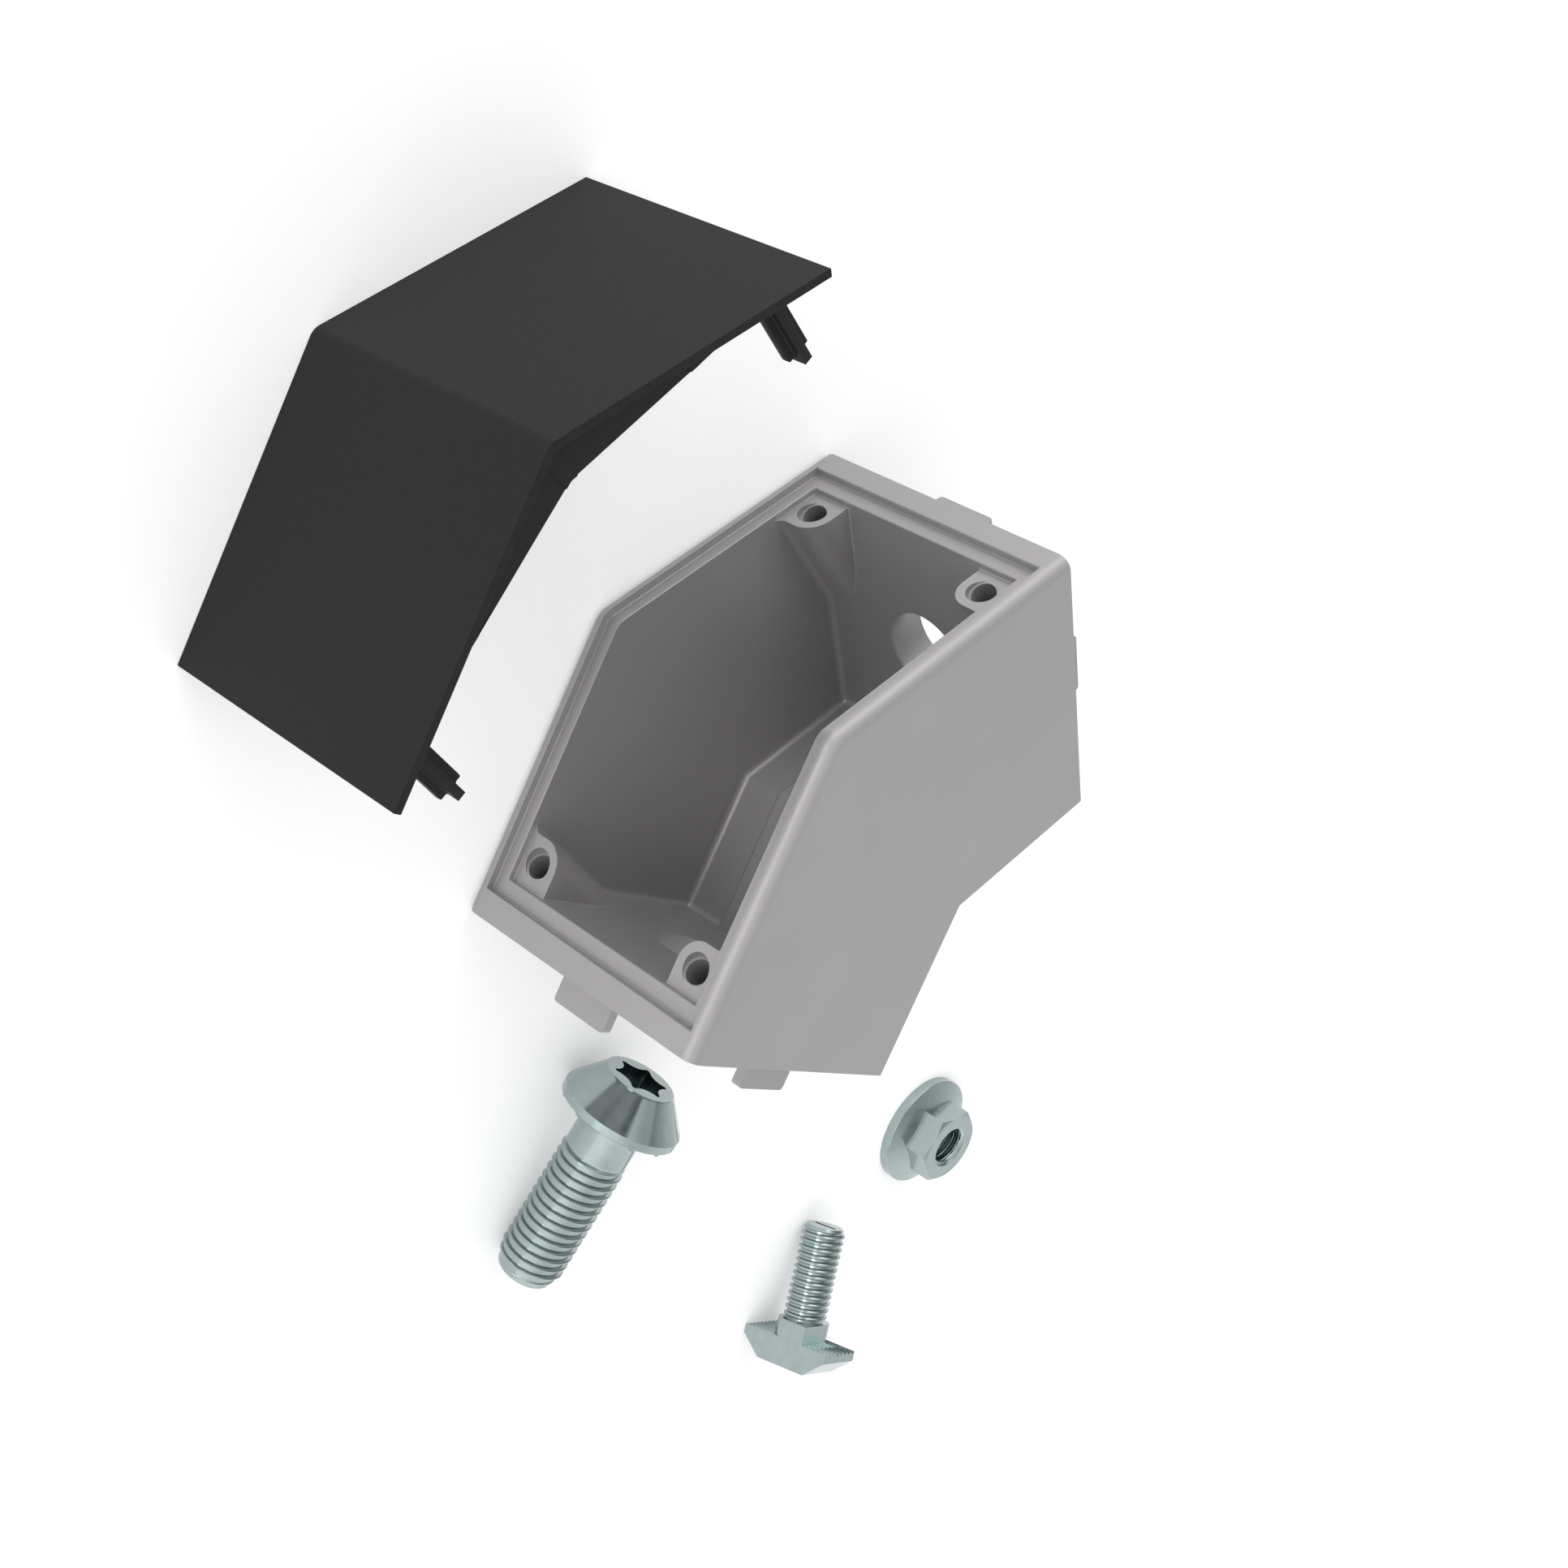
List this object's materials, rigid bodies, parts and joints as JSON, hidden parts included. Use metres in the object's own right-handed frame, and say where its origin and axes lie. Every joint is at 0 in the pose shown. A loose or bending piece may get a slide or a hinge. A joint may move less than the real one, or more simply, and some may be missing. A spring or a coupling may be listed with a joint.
{
  "type": "angle connector",
  "caption": "Cast elbow housing with lugs and bolt holes that joins two square profiles at 45 degrees, with its push-on cover cap, screw, T-head bolt and nut.",
  "frame": {"origin": "where the two bolt axes cross, seen on the outer face of the lower side plate, which lies on the bench", "axes": "+X across the bend towards the right arm, +Y out of the opening along the bend's bisector, +Z from the lower side plate to the upper one"},
  "size_m": [0.1242, 0.2346, 0.045],
  "materials": {
    "cast_housing": "fine blasted die casting, satin",
    "black_plastic": "moulded black, matte",
    "zinc_screw": "zinc plated, clear, smooth",
    "zinc_bolt": "zinc plated, clear, smooth",
    "zinc_nut": "zinc plated, clear, smooth"
  },
  "bodies": {
    "root": {"housing": "cast_housing", "cover_cap": "black_plastic", "flange_screw": "zinc_screw", "t_bolt": "zinc_bolt", "flange_nut": "zinc_nut"}
  },
  "joints": []
}
